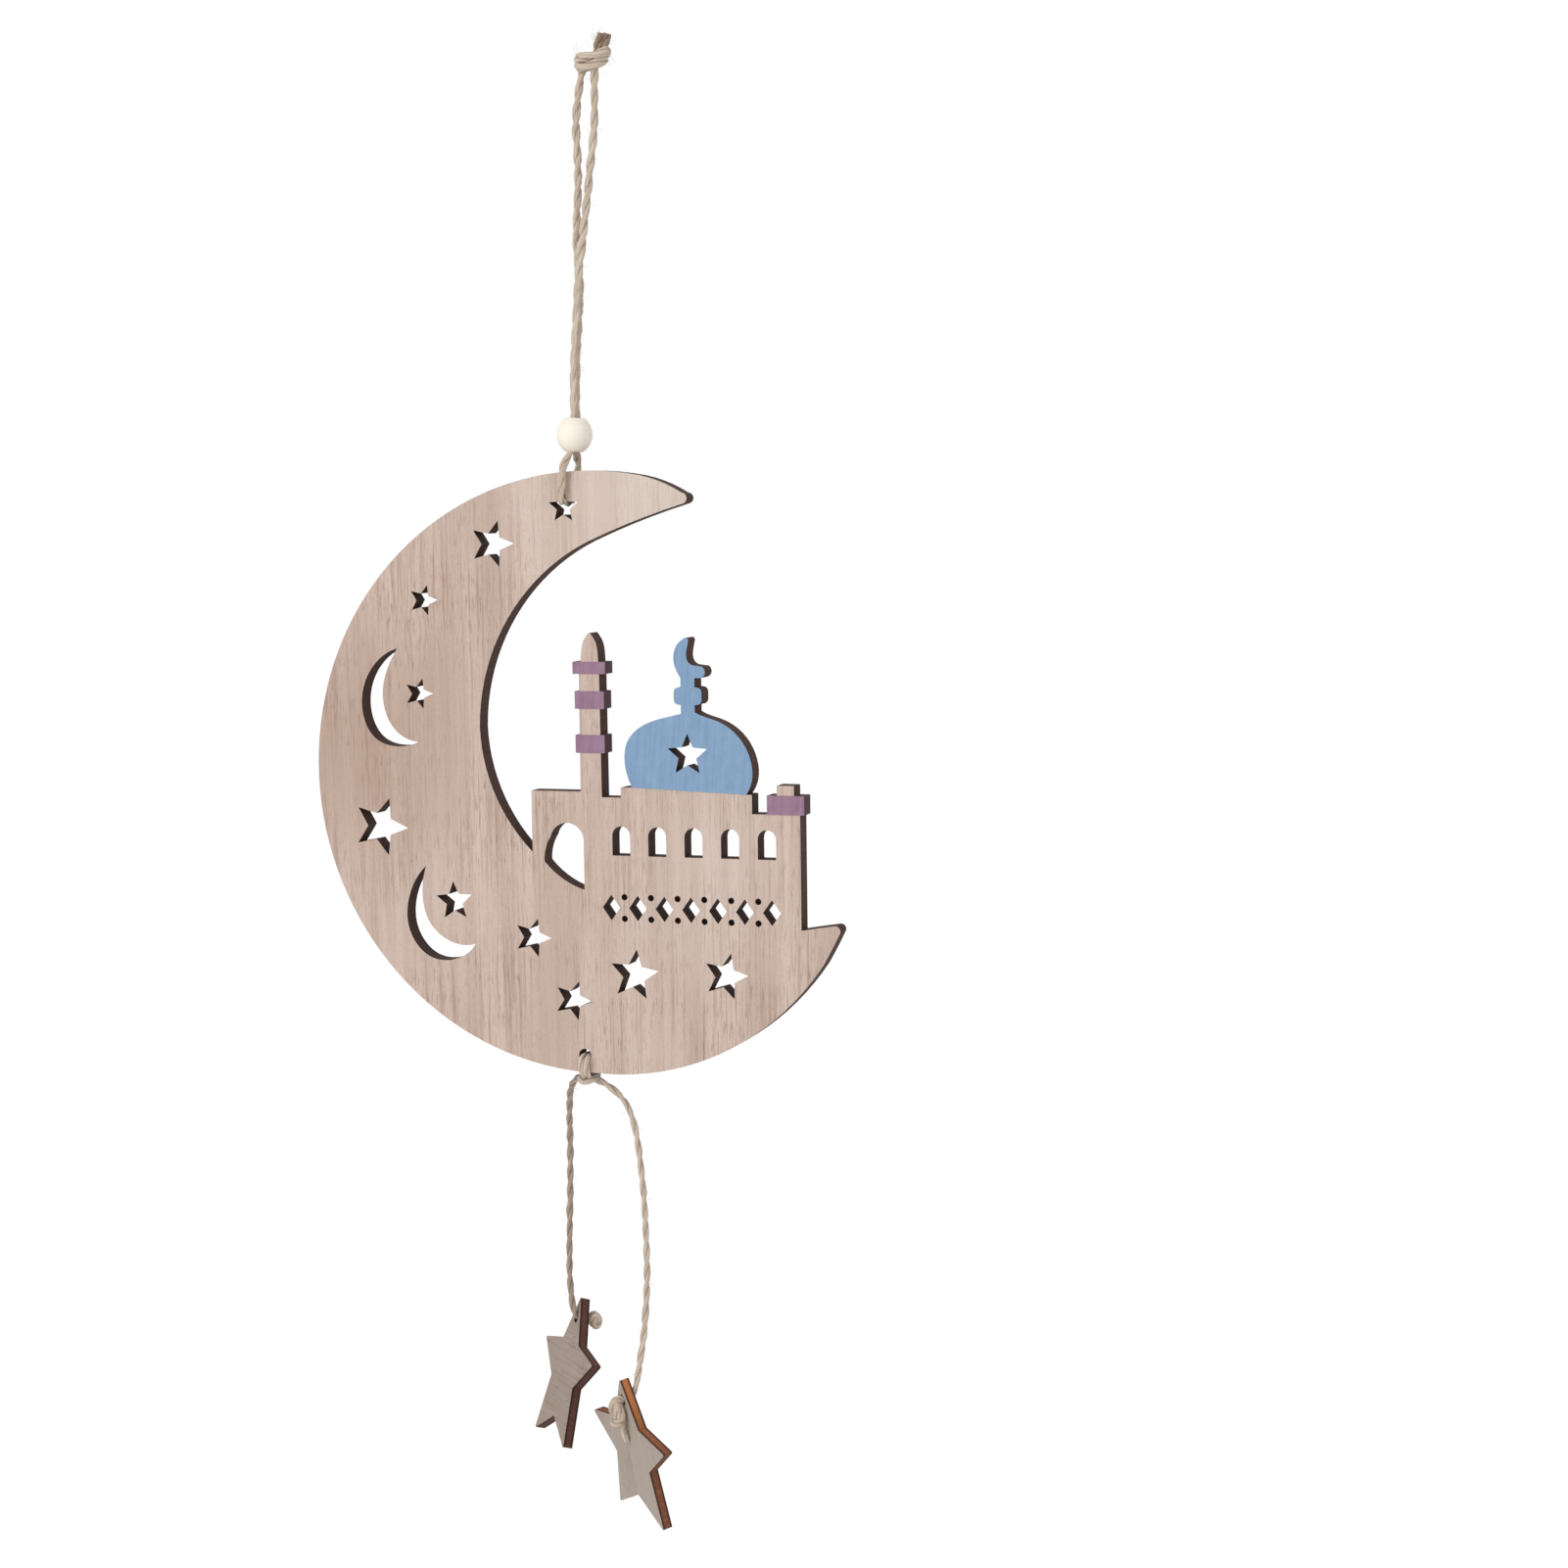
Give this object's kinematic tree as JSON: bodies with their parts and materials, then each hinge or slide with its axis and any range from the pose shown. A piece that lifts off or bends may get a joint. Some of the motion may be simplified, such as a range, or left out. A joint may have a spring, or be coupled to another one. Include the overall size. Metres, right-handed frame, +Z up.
{
  "type": "hanging crescent ornament",
  "caption": "Pierced plywood crescent with a mosque silhouette, hung on a knotted twine loop with a wooden bead, and plywood stars swinging on twine tails below it.",
  "frame": {"origin": "the point inside the hanging loop, right under its knot, where a hook carries the ornament", "axes": "+Z up along the hanging cord, -Y out of the painted face, +X to the right seen from the front"},
  "size_m": [0.1417, 0.0499, 0.3688],
  "materials": {
    "face_wood": "bare, laser cut",
    "core_wood": "charred cut edge",
    "star_wood": "bare, laser cut",
    "star_core_wood": "charred cut edge",
    "bead_wood": "matte cream",
    "blue_paint": "thin matte paint",
    "mauve_paint": "thin matte paint",
    "twine": "twisted jute"
  },
  "bodies": {
    "hanger": {"top_knot": "twine", "loop_left_strand": "twine", "loop_right_strand": "twine"},
    "sling": {"sling_cord": "twine"},
    "bead": {"bead": "bead_wood"},
    "plate": {"plate_front_ply": "face_wood", "plate_core": "core_wood", "plate_back_ply": "face_wood", "dome_paint": "blue_paint", "lower_band_paint": "mauve_paint", "middle_band_paint": "mauve_paint", "upper_band_paint": "mauve_paint", "turret_band_paint": "mauve_paint", "lower_hitch": "twine", "left_arch": "twine", "right_arch": "twine"},
    "left_tail": {"left_tail": "twine"},
    "left_star": {"left_lead": "twine", "left_star_front_ply": "star_wood", "left_star_core": "star_core_wood", "left_star_back_ply": "star_wood", "left_star_knot": "twine"},
    "right_tail": {"right_tail": "twine"},
    "right_star": {"right_lead": "twine", "right_star_front_ply": "star_wood", "right_star_core": "star_core_wood", "right_star_back_ply": "star_wood", "right_star_knot": "twine"}
  },
  "joints": [
    {"name": "ornament_turn", "type": "hinge", "parent": "hanger", "child": "sling", "pos_m": [0, 0, -0.045], "axis": [0, 0, 1], "range_deg": [-90, 90]},
    {"name": "bead_slide", "type": "slide", "parent": "sling", "child": "bead", "axis": [0, 0, 1], "range_m": [0, 0.033]},
    {"name": "plate_swing", "type": "hinge", "parent": "sling", "child": "plate", "pos_m": [-0.0011, 0, -0.102], "axis": [0, 1, 0], "range_deg": [-20, 20]},
    {"name": "left_tail_swing", "type": "hinge", "parent": "plate", "child": "left_tail", "pos_m": [0.00277, 0.01473, -0.26564], "axis": [1, 0, 0], "range_deg": [-30, 30]},
    {"name": "left_star_turn", "type": "hinge", "parent": "left_tail", "child": "left_star", "pos_m": [0.00416, 0.02017, -0.30616], "axis": [0.0498, -0.0984, 0.9939], "range_deg": [-90, 90]},
    {"name": "right_tail_swing", "type": "hinge", "parent": "plate", "child": "right_tail", "pos_m": [0.02548, 0.00471, -0.26246], "axis": [1, 0, 0], "range_deg": [-30, 30]},
    {"name": "right_star_turn", "type": "hinge", "parent": "right_tail", "child": "right_star", "pos_m": [0.03065, 0.00046, -0.31714], "axis": [0.0529, 0.1281, 0.9904], "range_deg": [-90, 90]}
  ]
}
